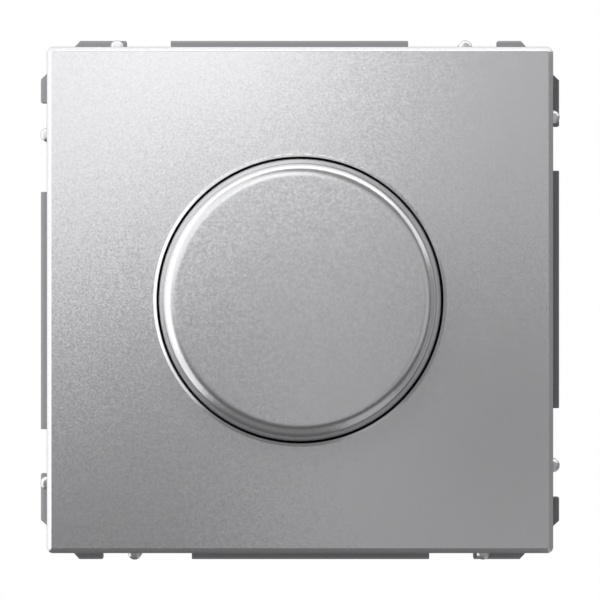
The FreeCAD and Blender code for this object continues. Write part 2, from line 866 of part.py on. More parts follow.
def resistors():
    """Row of resistors on the rear of the board."""
    row = []
    half = lead_width / 2
    reach = resistor_lead_span / 2
    axis = board_rear + resistor_radius + loose_gap
    for i in range(resistor_count):
        z = resistor_row_start + resistor_pitch * i
        start = Vector(-resistor_length / 2, axis, z)
        body = Part.makeCylinder(resistor_radius, resistor_length, start, Vector(1, 0, 0))
        rims = [e for e in body.Edges if e.BoundBox.XLength < resistor_bevel]
        body = body.makeChamfer(resistor_bevel, rims)
        lead = box(-reach, reach, axis - half, axis + half, z - half, z + half)
        feet = [
            box(x - half, x + half, board_rear, axis + half, z - half, z + half)
            for x in (-reach, reach)
        ]
        row.append(joined([body, lead] + feet))
    return row


def fuse_axis():
    """Depth of the fuse's axis behind the board."""
    return board_rear + fuse_clip_foot + fuse_clip_wall + fuse_radius


def fuse_rod(radius, length, x_start):
    """Cylinder along the fuse."""
    return Part.makeCylinder(radius, length, Vector(x_start, fuse_axis(), fuse_height), Vector(1, 0, 0))


def fuse_glass():
    """Glass tube of the fuse."""
    length = fuse_length - 2 * fuse_cap_wall
    return fuse_rod(fuse_radius - fuse_cap_wall, length, -length / 2)


def fuse_caps():
    """Metal caps on both ends of the fuse."""
    caps = []
    for start in (-fuse_length / 2, fuse_length / 2 - fuse_cap_length):
        caps.append(fuse_rod(fuse_radius, fuse_cap_length, start).cut(fuse_glass()))
    return caps


def fuse_clips():
    """Two spring clips, open towards the rear, each on its foot."""
    clips = []
    reach = 2 * fuse_radius
    mouth_front = fuse_axis() + fuse_clip_mouth
    foot_rear = board_rear + fuse_clip_foot + fuse_clip_wall / 2
    half = fuse_radius / 2
    for side in (-1, 1):
        start = side * (fuse_length - fuse_cap_length) / 2 - fuse_clip_width / 2
        end = start + fuse_clip_width
        ring = fuse_rod(fuse_radius + fuse_clip_wall, fuse_clip_width, start)
        ring = ring.cut(fuse_rod(fuse_radius, fuse_clip_width, start))
        low, high = fuse_height - reach, fuse_height + reach
        mouth = box(start, end, mouth_front, mouth_front + reach, low, high)
        foot = box(start, end, board_rear, foot_rear, fuse_height - half, fuse_height + half)
        clips.append(joined([ring.cut(mouth), foot]))
    return clips


def insulating_pad():
    """Thin sheet between the triac and the chassis."""
    x, z = triac_place
    length = triac_tab_length + triac_body_length
    half = triac_width / 2 + 2 * loose_gap
    pad = box(x - 2 * loose_gap, x + length, 0.0, pad_wall, z - half, z + half)
    return pad.cut(rod(triac_screw_radius, 0.0, pad_wall, triac_screw_x(), z))


def triac():
    """Flat power package: drilled tab, moulded body and three bent legs."""
    x, z = triac_place
    half = triac_width / 2
    body_start = x + triac_tab_length
    body_end = body_start + triac_body_length
    tab_rear = pad_wall + triac_tab_wall
    tab_plate = box(x, body_start, pad_wall, tab_rear, z - half, z + half)
    tab_plate = tab_plate.cut(rod(triac_screw_radius, pad_wall, tab_rear, triac_screw_x(), z))
    body = box(body_start, body_end, pad_wall, pad_wall + triac_body_wall, z - half, z + half)
    pieces = [tab_plate, body]
    leg_front = pad_wall + triac_body_wall / 2
    leg_half = lead_width / 2
    leg_rear = board_rear + lead_stand_out
    for leg_x, leg_z in triac_leg_places:
        low, high = leg_z - leg_half, leg_z + leg_half
        pieces.append(box(body_end, leg_x + leg_half, leg_front, leg_front + lead_width, low, high))
        pieces.append(box(leg_x - leg_half, leg_x + leg_half, leg_front, leg_rear, low, high))
    return joined(pieces)


def triac_screw():
    """Screw that clamps the triac's tab to the chassis."""
    x, z = triac_screw_x(), triac_place[1]
    seat = pad_wall + triac_tab_wall
    top = seat + triac_screw_head_height
    head = rod(triac_screw_head_radius, seat, top, x, z)
    head = head.makeChamfer(screw_head_bevel, edges_at(head, top))
    head = head.cut(crossing_slot(triac_screw_head_radius, top - screw_slot_depth, top, x, z))
    return joined([head, rod(triac_screw_radius, chassis_front, seat, x, z)])


def lead_pair(place, spread):
    """Places of a capacitor's two leads."""
    x, z = place
    return [(x, z - spread), (x, z + spread)]


def circuit_board():
    """Board across the housing, notched around the posts and drilled for the leads."""
    board = octagon(board_half, housing_corner_cut, board_front, board_rear)
    places = fixed_contact_places + pot_leg_places + triac_leg_places + bar_pin_places
    places = places + lead_pair(film_capacitor_place, film_capacitor_lead_spread)
    places = places + lead_pair(smoothing_capacitor_place, smoothing_capacitor_lead_spread)
    holes = [rod(lead_hole_radius, board_front, board_rear, x, z) for x, z in places]
    notches = [rod(post_radius + 2 * loose_gap, board_front, board_rear, x, z) for x, z in post_places()]
    return board.cut(holes + notches)


def housing_shell():
    """Octagonal cup with a stepped post in each cut corner."""
    shell = octagon(housing_half, housing_corner_cut, 0.0, housing_rear)
    rounded = shell.makeFillet(housing_wall / 2, edges_at(shell, housing_rear))
    inner_cut = housing_corner_cut - housing_wall * (2 - math.sqrt(2))
    room = octagon(housing_inner_half, inner_cut, 0.0, housing_floor)
    shell = rounded.cut(room)
    post_rear = housing_floor + housing_rear_wall / 2
    posts = []
    for x, z in post_places():
        posts.append(rod(post_radius, 0.0, post_rear, x, z))
        posts.append(rod(post_foot_radius, board_rear, post_rear, x, z))
    outside = octagon(housing_half, housing_corner_cut, 0.0, post_rear)
    return joined([shell] + [post.common(outside) for post in posts])


def slot_cutter(length, width, y_low, y_high):
    """Rounded slot along X, to be moved to its place."""
    half = length / 2 - width / 2
    bar = box(-half, half, y_low, y_high, -width / 2, width / 2)
    ends = [rod(width / 2, y_low, y_high, x, 0.0) for x in (-half, half)]
    return joined([bar] + ends)


def rear_vents():
    """Cutters for the slots in the housing's rear wall."""
    slot = slot_cutter(rear_vent_length, rear_vent_width, housing_floor, housing_rear)
    return [moved(slot, z=rear_vent_start + rear_vent_pitch * i) for i in range(rear_vent_count)]


def side_vents():
    """Cutters for the slots in the housing's upper and side walls."""
    vents = []
    middle = (board_rear + housing_floor) / 2
    front, rear = middle - side_vent_length / 2, middle + side_vent_length / 2
    half = rear_vent_width / 2
    for i in range(side_vent_count):
        x = side_vent_pitch * (i - (side_vent_count - 1) / 2)
        slot = box(x - half, x + half, front, rear, housing_inner_half, housing_half)
        vents += [turned(slot, angle) for angle in (-90, 0, 90)]
    return vents


def rear_housing():
    """Cup behind the chassis, open around the terminal block."""
    half = block_half + loose_gap
    mouth_front = board_rear + block_flange_wall
    mouth = box(-half, half, mouth_front, housing_rear, block_low, block_high + loose_gap)
    housing = housing_shell().cut(rear_vents() + side_vents() + [mouth])
    holes = [rod(housing_screw_radius, 0.0, housing_screw_length, x, z) for x, z in post_places()]
    return housing.cut(holes)


def housing_screws():
    """Four screws from the front of the chassis into the housing's posts."""
    screws = []
    top = chassis_front - housing_screw_head_height
    tip = housing_screw_length - 2 * housing_screw_point
    for x, z in post_places():
        head = rod(housing_screw_head_radius, top, chassis_front, x, z)
        head = head.makeChamfer(screw_head_bevel, edges_at(head, top))
        head = head.cut(crossing_slot(housing_screw_head_radius, top, top + screw_slot_depth, x, z))
        shank = rod(housing_screw_radius, chassis_front, tip, x, z)
        point = cone(housing_screw_radius, housing_screw_tip_radius, tip, tip + housing_screw_point, x, z)
        screws.append(joined([head, shank, point]))
    return screws


def terminal_block():
    """Moulded block with one cell, one wire entry and one driver hole for each pole."""
    flange_rear_face = board_rear + block_flange_wall
    block = box(-block_half, block_half, flange_rear_face, housing_rear, block_low, block_high)
    flange_half = block_half + block_flange
    flange_low = block_low + housing_wall + loose_gap
    flange = box(-flange_half, flange_half, board_rear, flange_rear_face, flange_low, block_high)
    block = joined([block, flange])
    half = cell_width / 2
    cutters = []
    for x in terminal_places:
        cutters.append(box(x - half, x + half, board_rear, cell_rear, block_low + cell_wall, cell_high))
        cutters.append(rod(wire_entry_radius, cell_rear, housing_rear, x, wire_height))
        cutters.append(wire_funnel(x))
        cutters.append(upright_rod(driver_hole_radius, block_low, block_low + cell_wall, x, cage_middle))
    return block.cut(cutters)


def wire_funnel(x):
    """Cutter that widens a wire entry towards the rear."""
    front = housing_rear - wire_entry_funnel
    mouth = wire_entry_radius + wire_entry_funnel
    return cone(wire_entry_radius, mouth, front, housing_rear, x, wire_height)


def bus_bars():
    """Flat bar in each cell, with its pin through the board."""
    bars = []
    half = bar_width / 2
    pin_half = lead_width / 2
    bar_front = board_rear + bar_wall
    for x, z in bar_pin_places:
        bar = box(x - half, x + half, bar_front, cell_rear - loose_gap, bar_low, bar_high)
        pin = box(x - pin_half, x + pin_half, board_front, bar_front, z - pin_half, z + pin_half)
        bars.append(joined([bar, pin]))
    return bars


def clamp_cage(x):
    """Rectangular cage that a terminal screw draws along, with a threaded floor."""
    half = cell_width / 2 - loose_gap
    inner = half - cage_side_wall
    cage = box(x - half, x + half, cage_front, cage_rear, cage_low, cage_high)
    cage = cage.cut(box(x - inner, x + inner, cage_front, cage_rear, cage_floor_high, cage_roof_low))
    bore = terminal_screw_radius + running_gap
    return cage.cut(upright_rod(bore, cage_low, cage_floor_high, x, cage_middle))


def terminal_screw(x):
    """Captive screw whose tip bears on the bus bar."""
    radius = terminal_screw_head_radius
    head = upright_rod(radius, head_low, head_high, x, cage_middle)
    front = cage_middle - screw_slot_width / 2
    rear = cage_middle + screw_slot_width / 2
    slot = box(x - radius, x + radius, front, rear, head_low, head_low + screw_slot_depth)
    shank = upright_rod(terminal_screw_radius, head_high, bar_low - running_gap, x, cage_middle)
    return joined([head.cut(slot), shank])


def export(name, shape):
    """Write one node; a list becomes a group of separate solids."""
    if isinstance(shape, list):
        shape = Part.makeCompound(shape)
    shape.exportStep("parts/" + name + ".step")


def main():
    """Build every piece and write it."""
    os.makedirs("parts", exist_ok=True)
    makers = [
        front_plate, knob_cap, knob_core, hub_clip, spindle, spindle_clip, plate_nut, lock_washer,
        pot_bushing, chassis_plate, pot_case, track_disc, pot_legs, wiper_carrier, wiper_contact,
        switch_case, switch_base, fixed_contacts, switch_plunger, contact_bridge, return_spring,
        circuit_board, triac, triac_screw, insulating_pad, choke_core, choke_winding, film_capacitor,
        smoothing_capacitor, control_chip, resistors, fuse_glass, fuse_caps, fuse_clips,
        rear_housing, housing_screws, terminal_block, bus_bars,
    ]
    for make in makers:
        export(make.__name__, make())
    for number, x in enumerate(terminal_places, start=1):
        export("clamp_cage_" + str(number), clamp_cage(x))
        export("terminal_screw_" + str(number), terminal_screw(x))


main()
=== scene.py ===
"""Looks of a rotary dimmer module: satin silver plate and knob, the works behind them, and the studio.

Metres, in the part's own frame: the front faces -Y, +Z is up and +X is right as seen from the front.
"""

import json
import math

import bmesh
import bpy
import numpy as np
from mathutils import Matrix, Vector


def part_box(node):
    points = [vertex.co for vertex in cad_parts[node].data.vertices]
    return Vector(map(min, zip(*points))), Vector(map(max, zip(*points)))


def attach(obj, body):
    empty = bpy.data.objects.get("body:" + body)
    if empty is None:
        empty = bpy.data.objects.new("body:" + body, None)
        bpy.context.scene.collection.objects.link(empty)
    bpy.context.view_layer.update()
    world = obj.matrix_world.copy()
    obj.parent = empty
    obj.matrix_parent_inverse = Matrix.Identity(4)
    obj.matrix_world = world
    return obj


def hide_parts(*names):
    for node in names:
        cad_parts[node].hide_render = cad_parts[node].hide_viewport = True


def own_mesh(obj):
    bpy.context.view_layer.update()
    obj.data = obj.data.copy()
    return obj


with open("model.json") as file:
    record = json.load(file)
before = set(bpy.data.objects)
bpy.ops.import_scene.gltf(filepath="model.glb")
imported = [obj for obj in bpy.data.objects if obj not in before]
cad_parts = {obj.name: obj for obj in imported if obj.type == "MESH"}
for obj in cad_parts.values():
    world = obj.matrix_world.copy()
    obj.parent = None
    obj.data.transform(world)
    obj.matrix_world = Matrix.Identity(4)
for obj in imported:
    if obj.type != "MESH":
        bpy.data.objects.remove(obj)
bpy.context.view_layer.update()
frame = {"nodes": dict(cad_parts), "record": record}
slot_of = {part["node"]: part["material_slot"] for part in frame["record"]["subparts"]}
body_of = {
    node: body
    for body, nodes in frame["record"]["behaviour"]["bodies"].items()
    for node in nodes
}

MM = 0.001
TURN = 2 * math.pi

# Front plate, as the solid has it, with a little draft on its edge and a softer foot of the rim
plate_half = 27.5 * MM
plate_face = -7.0 * MM
plate_corner_radius = 0.7 * MM
plate_bevel = 0.6 * MM
plate_edge_draft = 0.13 * MM
plate_edge_rounding = 0.05 * MM
face_edge_rounding = 0.16 * MM
face_ring_inset = 0.09 * MM
edge_band_rear = -4.8 * MM
face_rear = -5.4 * MM
skirt_half = 27.1 * MM
skirt_wall = 1.5 * MM
skirt_inner_corner = 1.5 * MM
opening_radius = 15.5 * MM
opening_rim_width = 0.35 * MM
opening_rim_height = 0.2 * MM
opening_rim_top = 0.05 * MM
opening_rim_rounding = 0.04 * MM
opening_rim_seam = 0.03 * MM
cup_radius = 16.9 * MM
web_front = -2.8 * MM
web_rear = -1.2 * MM
web_hole_radius = 5.1 * MM
moulded_edge = 0.12 * MM

# Points of the plate's rings, along a side and round a corner
side_places = 73
corner_places = 9

# Tabs, centring ribs, stiffening ribs and pegs along each side, clockwise from the side's middle
tab_reach = 0.68 * MM
tab_front = -4.2 * MM
tab_rear = -1.4 * MM
tab_edge_bevel = 0.2 * MM
tab_end_cut = 0.6 * MM
latch_ramp = 0.6 * MM
start_tab_span = (-24.5 * MM, -18.9 * MM)
latch_tab_span = (-14.05 * MM, 11.76 * MM)
end_tab_span = (21.46 * MM, 24.6 * MM)
centring_rib_radius = 0.75 * MM
centring_rib_reach = 0.73 * MM
centring_rib_front = -4.5 * MM
centring_rib_rear = -0.5 * MM
centring_rib_bevel = 0.3 * MM
centring_rib_places = (-19.9 * MM, 17.97 * MM)
stiffening_rib_places = (-7.0 * MM, 7.0 * MM)
stiffening_rib_half = 0.5 * MM
stiffening_rib_rear = -2.4 * MM
peg_places = (-21.2 * MM, 21.2 * MM)
peg_radius = 1.2 * MM
peg_rear = -0.1 * MM

# Satin coat: it covers the noses of the centring ribs and ends just ahead of the tabs
coat_colour = (0.70, 0.70, 0.71)
bare_colour = (0.25, 0.25, 0.26)
coat_end = tab_front - 0.05 * MM
coat_fade = 0.04 * MM
coat_roughness = 0.26
bare_roughness = 0.5
coat_tone_spread = 0.02
flake_scale = 5200.0
flake_tilt = 0.062

# Knob, from the solid's own box, with a foot that fills a little of the gap around it
knob_foot_spread = 0.07 * MM
cap_low, cap_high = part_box("knob_cap")
knob_face = cap_low.y
knob_base = cap_high.y
knob_base_radius = cap_high.x + knob_foot_spread
knob_top_radius = 14.45 * MM
knob_rounding = 1.4 * MM
knob_wall = 1.3 * MM
knob_inner_bevel = 0.4 * MM
knob_base_edge = 0.08 * MM

# Return spring, with the points of each turn
spring_radius = 2.1 * MM
spring_wire_radius = 0.138 * MM
spring_turns = 4
spring_steps = 48

# Winding of the choke, with the points of each turn
winding_wire_radius = 0.4 * MM
winding_turns = 16
winding_steps = 40
winding_inner_radius = 2.65 * MM
winding_open_angle = math.radians(62)
winding_squareness = 0.4

# Solder behind the circuit board
board_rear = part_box("circuit_board")[1].y
solder_radius = 1.0 * MM
solder_tip_radius = 0.5 * MM
solder_height = 0.75 * MM

# Leads that come through the board: how far each row stands from the knob's axis, and its spacing
switch_lead_spacing = 8.0 * MM
pot_leg_drop = 10.6 * MM
pot_leg_spacing = 2.5 * MM
power_lead_offset = 7.0 * MM
power_lead_rise = 15.6 * MM
power_lead_spacing = 2.54 * MM
bar_drop = 17.35 * MM
bar_spacing = 7.0 * MM
film_lead_offset = 15.2 * MM
film_lead_drop = 1.5 * MM
film_lead_spacing = 8.6 * MM
can_lead_offset = 17.5 * MM
can_lead_drop = 5.0 * MM
can_lead_spacing = 4.0 * MM

# Resistors behind the board, their coloured rings as shares of the body's length
resistor_count = 3
resistor_half_length = 3.2 * MM
resistor_radius = 1.1 * MM
resistor_waist_radius = 0.92 * MM
resistor_end_width = 1.5 * MM
resistor_end_rounding = 0.4 * MM
resistor_waist_rounding = 0.5 * MM
resistor_lead_radius = 0.3 * MM
resistor_lead_bend = 0.7 * MM
resistor_lead_inset = 0.35 * MM
resistor_colour = (0.62, 0.50, 0.36)
tinned_wire = (0.72, 0.72, 0.70)
ring_colours = [(0.30, 0.13, 0.05), (0.02, 0.02, 0.02), (0.60, 0.22, 0.02), (0.55, 0.42, 0.12)]
first_ring = 0.22
ring_spacing = 0.15
ring_width = 0.07
body_end = 0.002

# Surfaces of the plain finishes
plastic_tone_spread = 0.025
plastic_grain = 0.10
metal_grain = 0.05
lacquer_tone_spread = 0.18
lacquer_grain = 0.06
grain_depth = 0.02 * MM

# Studio: distances in metres from the part's origin, and light as a share of white
camera_distance = 0.5
view_width = 64.86 * MM
sensor_width = 36.0
floor_level = -0.17
floor_half = 0.85
floor_blend_start = 0.3
floor_glow = 0.5
floor_colour = (0.5, 0.5, 0.5)
tent_half = 0.16
room_light = 0.2

# Bevels that take the sharpness off the solids' edges, and the angles that tell edges from curves
flat_angle = math.radians(0.5)
crease_angle = math.radians(30)
edge_angle = math.radians(40)
soft_edges = {
    "rear_housing": 0.25 * MM,
    "terminal_block": 0.2 * MM,
    "chassis_plate": 0.1 * MM,
    "circuit_board": 0.08 * MM,
    "knob_core": 0.1 * MM,
    "plate_nut": 0.1 * MM,
    "housing_screws": 0.08 * MM,
    "pot_case": 0.06 * MM,
    "switch_case": 0.1 * MM,
    "switch_base": 0.06 * MM,
    "switch_plunger": 0.06 * MM,
    "wiper_carrier": 0.06 * MM,
    "triac": 0.1 * MM,
    "control_chip": 0.08 * MM,
    "fuse_caps": 0.08 * MM,
    "bus_bars": 0.06 * MM,
}
for pole in (1, 2, 3):
    soft_edges[f"clamp_cage_{pole}"] = 0.08 * MM
    soft_edges[f"terminal_screw_{pole}"] = 0.08 * MM


def wound(points, close_rows, close_columns):
    """Quads over a grid of points, rows by columns, either direction closed into a ring."""
    rows, columns = points.shape[:2]
    row = np.arange(rows if close_rows else rows - 1)
    column = np.arange(columns if close_columns else columns - 1)
    row, column = np.meshgrid(row, column, indexing="ij")
    next_row = (row + 1) % rows
    next_column = (column + 1) % columns
    corners = (
        row * columns + column,
        row * columns + next_column,
        next_row * columns + next_column,
        next_row * columns + column,
    )
    return np.stack(corners, axis=-1).reshape(-1, 4)


def piece_from(name, surfaces, crease_degrees=32.0):
    """Object made of one or more closed surfaces, each given as points with its quads.

    Doubles are merged, so that seams and poles close, the normals are turned outwards, and the
    mesh is smooth except across edges sharper than the crease angle.
    """
    form = bmesh.new()
    for points, quads in surfaces:
        part = bpy.data.meshes.new(name)
        part.from_pydata(points.reshape(-1, 3).tolist(), [], quads.tolist())
        form.from_mesh(part)
        bpy.data.meshes.remove(part)
    bmesh.ops.remove_doubles(form, verts=form.verts, dist=1e-7)
    bmesh.ops.dissolve_degenerate(form, edges=form.edges, dist=1e-8)
    bmesh.ops.recalc_face_normals(form, faces=form.faces)
    mesh = bpy.data.meshes.new(name)
    form.to_mesh(mesh)
    form.free()
    mesh.shade_smooth()
    mesh.set_sharp_from_angle(angle=math.radians(crease_degrees))
    piece = bpy.data.objects.new(name, mesh)
    bpy.context.scene.collection.objects.link(piece)
    return piece


def eased_path(corners, roundings, steps=6):
    """Open line through corners, each inner one rounded by its radius.

    A corner's arc starts and ends at radius times tan(half the turn) from it; each is worked out
    as centre plus radius times a direction that turns evenly from one tangent point to the other.
    """
    corners = np.array(corners, float)
    line = [corners[:1]]
    for before, corner, after, radius in zip(corners, corners[1:], corners[2:], roundings):
        to_before = (before - corner) / np.linalg.norm(before - corner)
        to_after = (after - corner) / np.linalg.norm(after - corner)
        half_angle = math.acos(np.clip(to_before @ to_after, -1, 1)) / 2
        if radius <= 0 or math.sin(2 * half_angle) < 1e-6:
            line.append(corner[None])
            continue
        middle = to_before + to_after
        centre = corner + middle / np.linalg.norm(middle) * radius / math.sin(half_angle)
        start = corner + to_before * radius / math.tan(half_angle) - centre
        end = corner + to_after * radius / math.tan(half_angle) - centre
        share = np.linspace(0, 1, steps + 1)[:, None]
        sweep = math.pi - 2 * half_angle
        turned = (np.sin((1 - share) * sweep) * start + np.sin(share * sweep) * end) / math.sin(sweep)
        line.append(centre + turned)
    line.append(corners[-1:])
    return np.concatenate(line)


def revolved(profile, columns=128, place=(0.0, 0.0), start=0.0):
    """Closed surface of revolution about an axis along Y.

    Each profile point (radius, depth) becomes a ring: x = radius sin(turn), z = radius cos(turn).
    A profile that starts and ends on the axis closes into poles there.
    """
    radius, depth = np.array(profile, float).T
    angle = start + np.arange(columns) * TURN / columns
    x = place[0] + radius[:, None] * np.sin(angle)
    z = place[1] + radius[:, None] * np.cos(angle)
    y = np.broadcast_to(depth[:, None], x.shape)
    points = np.stack([x, y, z], axis=-1)
    closed = abs(radius[0]) > 1e-9
    return points, wound(points, closed, True)


def carried(path, outward, half_widths, sides=10):
    """Closed round bar along a path, with drawn-in ends.

    Around each path point lies a ring: cos(a) times the outward direction plus sin(a) times the
    direction square to it and to the path, times the half width there. The first and last rings
    shrink to a point, which closes the ends.
    """
    path = np.array(path, float)
    tangent = np.gradient(path, axis=0)
    tangent /= np.linalg.norm(tangent, axis=1)[:, None]
    outward = np.broadcast_to(np.array(outward, float), path.shape)
    side = outward - (outward * tangent).sum(axis=1)[:, None] * tangent
    side /= np.linalg.norm(side, axis=1)[:, None]
    other = np.cross(tangent, side)
    width = np.broadcast_to(np.array(half_widths, float), (len(path),)).copy()
    path = np.concatenate([path[:1], path, path[-1:]])
    side = np.concatenate([side[:1], side, side[-1:]])[:, None]
    other = np.concatenate([other[:1], other, other[-1:]])[:, None]
    width = np.concatenate([[0.0], width, [0.0]])[:, None, None]
    angle = (np.arange(sides) * TURN / sides)[None, :, None]
    points = path[:, None] + width * (np.cos(angle) * side + np.sin(angle) * other)
    return points, wound(points, False, True)


def drawn_in(sections):
    """Closed surface through a row of equal outlines, with its first and last drawn in to a point."""
    first = np.broadcast_to(sections[:1].mean(axis=1, keepdims=True), sections[:1].shape)
    last = np.broadcast_to(sections[-1:].mean(axis=1, keepdims=True), sections[-1:].shape)
    points = np.concatenate([first, sections, last])
    return points, wound(points, False, True)


def quarter_turned(surface, quarters):
    """The same surface turned clockwise about the knob's axis by quarter turns: (x, z) to (z, -x)."""
    points, quads = surface
    for _ in range(quarters):
        points = np.stack([points[..., 2], points[..., 1], -points[..., 0]], axis=-1)
    return points, quads


def outline_directions():
    """The places round a rounded square that every ring of the plate shares.

    For one side they are shares of the straight stretch, spaced evenly in polar angle, and then
    angles through the corner's arc. Also gives their polar angles, clockwise from the side's
    middle, which the round rings use.
    """
    straight = plate_half - plate_corner_radius
    limit = math.atan(straight / plate_half)
    share = np.tan(np.linspace(-limit, limit, side_places)) * plate_half / straight
    arc = np.radians(np.linspace(0, 90, corner_places + 2)[1:-1])
    along = np.concatenate([share * straight, straight + plate_corner_radius * np.sin(arc)])
    out = np.concatenate([0 * share + plate_half, straight + plate_corner_radius * np.cos(arc)])
    return share, arc, np.arctan2(along, out)


def square_rings(profile, straight):
    """Rings in the form of a rounded square, one for each (half width, depth) of the profile.

    On the flat of a side the point is (share times the straight half, half width); in the corner
    it is the arc's centre plus the corner radius, half width minus straight, times the direction.
    """
    half, depth = np.array(profile, float).T
    share, arc, _ = outline_directions()
    flat_x = np.broadcast_to(share * straight, (len(half), len(share)))
    flat_z = np.broadcast_to(half[:, None], flat_x.shape)
    corner = (half - straight)[:, None]
    x = np.concatenate([flat_x, straight + corner * np.sin(arc)], axis=1)
    z = np.concatenate([flat_z, straight + corner * np.cos(arc)], axis=1)
    return all_sides(x, z, depth)


def round_rings(profile):
    """Round rings, one for each (radius, depth), at the polar angles of the square ones."""
    radius, depth = np.array(profile, float).T
    angle = outline_directions()[2]
    return all_sides(radius[:, None] * np.sin(angle), radius[:, None] * np.cos(angle), depth)


def all_sides(x, z, depth):
    """Rings completed from their first quarter by quarter turns, (x, z) to (z, -x)."""
    ring_x = np.concatenate([x, z, -x, -z], axis=1)
    ring_z = np.concatenate([z, -x, -z, x], axis=1)
    ring_y = np.broadcast_to(depth[:, None], ring_x.shape)
    return np.stack([ring_x, ring_y, ring_z], axis=-1)


def plate_shell():
    """Face, opening, cup, web and skirt as one closed surface of two parameters.

    One parameter runs round the knob's axis. The other runs round the wall's section: from the
    rim down the cup, across the web and through its hole, back along the web's rear and the
    cup's outside, then behind the face, down and up the skirt, along the edge, which leans in
    by its draft, and over the bevel to the face.
    """
    rim_foot = opening_radius + opening_rim_width
    rim_top = plate_face - opening_rim_height
    opening = eased_path(
        [
            (rim_foot + moulded_edge, plate_face), (rim_foot, plate_face),
            (opening_radius + opening_rim_top, rim_top), (opening_radius, rim_top + opening_rim_top),
            (opening_radius, web_front), (web_hole_radius, web_front), (web_hole_radius, web_rear),
            (cup_radius, web_rear), (cup_radius, face_rear), (cup_radius + skirt_wall, face_rear),
        ],
        [opening_rim_seam, opening_rim_rounding, opening_rim_seam, 3 * moulded_edge, moulded_edge,
         moulded_edge, 2 * moulded_edge, 2 * moulded_edge],
    )
    skirt_inner = skirt_half - skirt_wall
    inside = eased_path(
        [(skirt_inner - skirt_wall, face_rear), (skirt_inner, face_rear), (skirt_inner, 0.0),
         (skirt_inner + skirt_wall / 3, 0.0)],
        [2 * moulded_edge, moulded_edge],
    )
    outside = eased_path(
        [(skirt_half - skirt_wall / 3, 0.0), (skirt_half, 0.0), (skirt_half, edge_band_rear)],
        [moulded_edge],
    )
    bevel_foot = plate_face + plate_bevel - plate_edge_draft
    face_half = plate_half - plate_bevel
    edge = eased_path(
        [(skirt_half, edge_band_rear), (plate_half, edge_band_rear),
         (plate_half - plate_edge_draft, bevel_foot),
         (face_half, plate_face), (face_half - face_ring_inset, plate_face)],
        [moulded_edge / 2, plate_edge_rounding, face_edge_rounding],
    )
    rings = np.concatenate([
        round_rings(opening),
        square_rings(inside, skirt_inner - skirt_inner_corner),
        square_rings(outside, skirt_half - plate_corner_radius),
        square_rings(edge, plate_half - plate_corner_radius),
    ])
    return rings, wound(rings, True, True)


def tab(span, start_cut, end_cut, ramp):
    """Tab on the top side of the skirt: its section in depth and height, carried along the side.

    Where an end is cut at 45 degrees, the section's upper edge comes down by as much as the
    place lies inside the cut.
    """
    start, end = span
    low = skirt_half - skirt_wall / 2
    high = plate_half + tab_reach
    soft = moulded_edge / 2
    upper = eased_path(
        [(tab_front, low), (tab_front, high - tab_edge_bevel), (tab_front + tab_edge_bevel, high),
         (tab_rear - ramp, high), (tab_rear, high - ramp), (tab_rear, low)],
        [soft, soft, soft, soft],
        steps=3,
    )
    place = [start, start + soft]
    drop = [soft + start_cut, start_cut]
    if start_cut:
        place.append(start + start_cut)
        drop.append(0.0)
    if end_cut:
        place.append(end - end_cut)
        drop.append(0.0)
    place += [end - soft, end]
    drop += [end_cut, soft + end_cut]
    place, drop = np.array(place)[:, None], np.array(drop)[:, None]
    depth = np.broadcast_to(upper[:, 0], (len(place), len(upper)))
    height = np.minimum(upper[:, 1], high - drop)
    along = np.broadcast_to(place, depth.shape)
    return drawn_in(np.stack([along, depth, height], axis=-1))


def centring_rib(place):
    """Half-round rib: a round bar along the depth with a bevelled nose, half sunk in the skirt."""
    profile = eased_path(
        [(0.0, centring_rib_front), (centring_rib_radius - centring_rib_bevel, centring_rib_front),
         (centring_rib_radius, centring_rib_front + centring_rib_bevel),
         (centring_rib_radius, centring_rib_rear), (0.0, centring_rib_rear)],
        [moulded_edge / 2, moulded_edge / 2, moulded_edge / 2],
        steps=3,
    )
    height = plate_half + centring_rib_reach - centring_rib_radius
    return revolved(profile, columns=40, place=(place, height))


def stiffening_rib(place):
    """Thin wall behind the face between cup and skirt, its free edge rounded."""
    low = math.sqrt(cup_radius**2 - place**2) - skirt_wall / 2
    high = skirt_half - skirt_wall / 2
    front = (plate_face + face_rear) / 2
    half = stiffening_rib_half
    section = eased_path(
        [(-half, front), (-half, stiffening_rib_rear), (half, stiffening_rib_rear), (half, front)],
        [half / 2, half / 2],
        steps=3,
    )
    height = np.array([low, high])[:, None]
    across = np.broadcast_to(place + section[:, 0], (2, len(section)))
    depth = np.broadcast_to(section[:, 1], across.shape)
    return drawn_in(np.stack([across, depth, np.broadcast_to(height, across.shape)], axis=-1))


def peg(place):
    """Peg behind the face with a rounded end."""
    front = (plate_face + face_rear) / 2
    profile = eased_path(
        [(0.0, front), (peg_radius, front), (peg_radius, peg_rear), (0.0, peg_rear)],
        [moulded_edge, 2 * moulded_edge],
    )
    return revolved(profile, columns=40, place=(place, 0.0))


def front_plate():
    """The moulded plate: its shell, and on each side the tabs and ribs, repeated by quarter turns."""
    surfaces = [plate_shell()]
    side = [
        tab(start_tab_span, tab_end_cut, 0.0, tab_edge_bevel),
        tab(latch_tab_span, 0.0, 0.0, latch_ramp),
        tab(end_tab_span, 0.0, tab_end_cut, tab_edge_bevel),
    ]
    side += [centring_rib(place) for place in centring_rib_places]
    side += [stiffening_rib(place) for place in stiffening_rib_places]
    for quarters in range(4):
        surfaces += [quarter_turned(surface, quarters) for surface in side]
    surfaces += [peg(place) for place in peg_places]
    return worn_by(piece_from("front_plate_shell", surfaces), "front_plate")


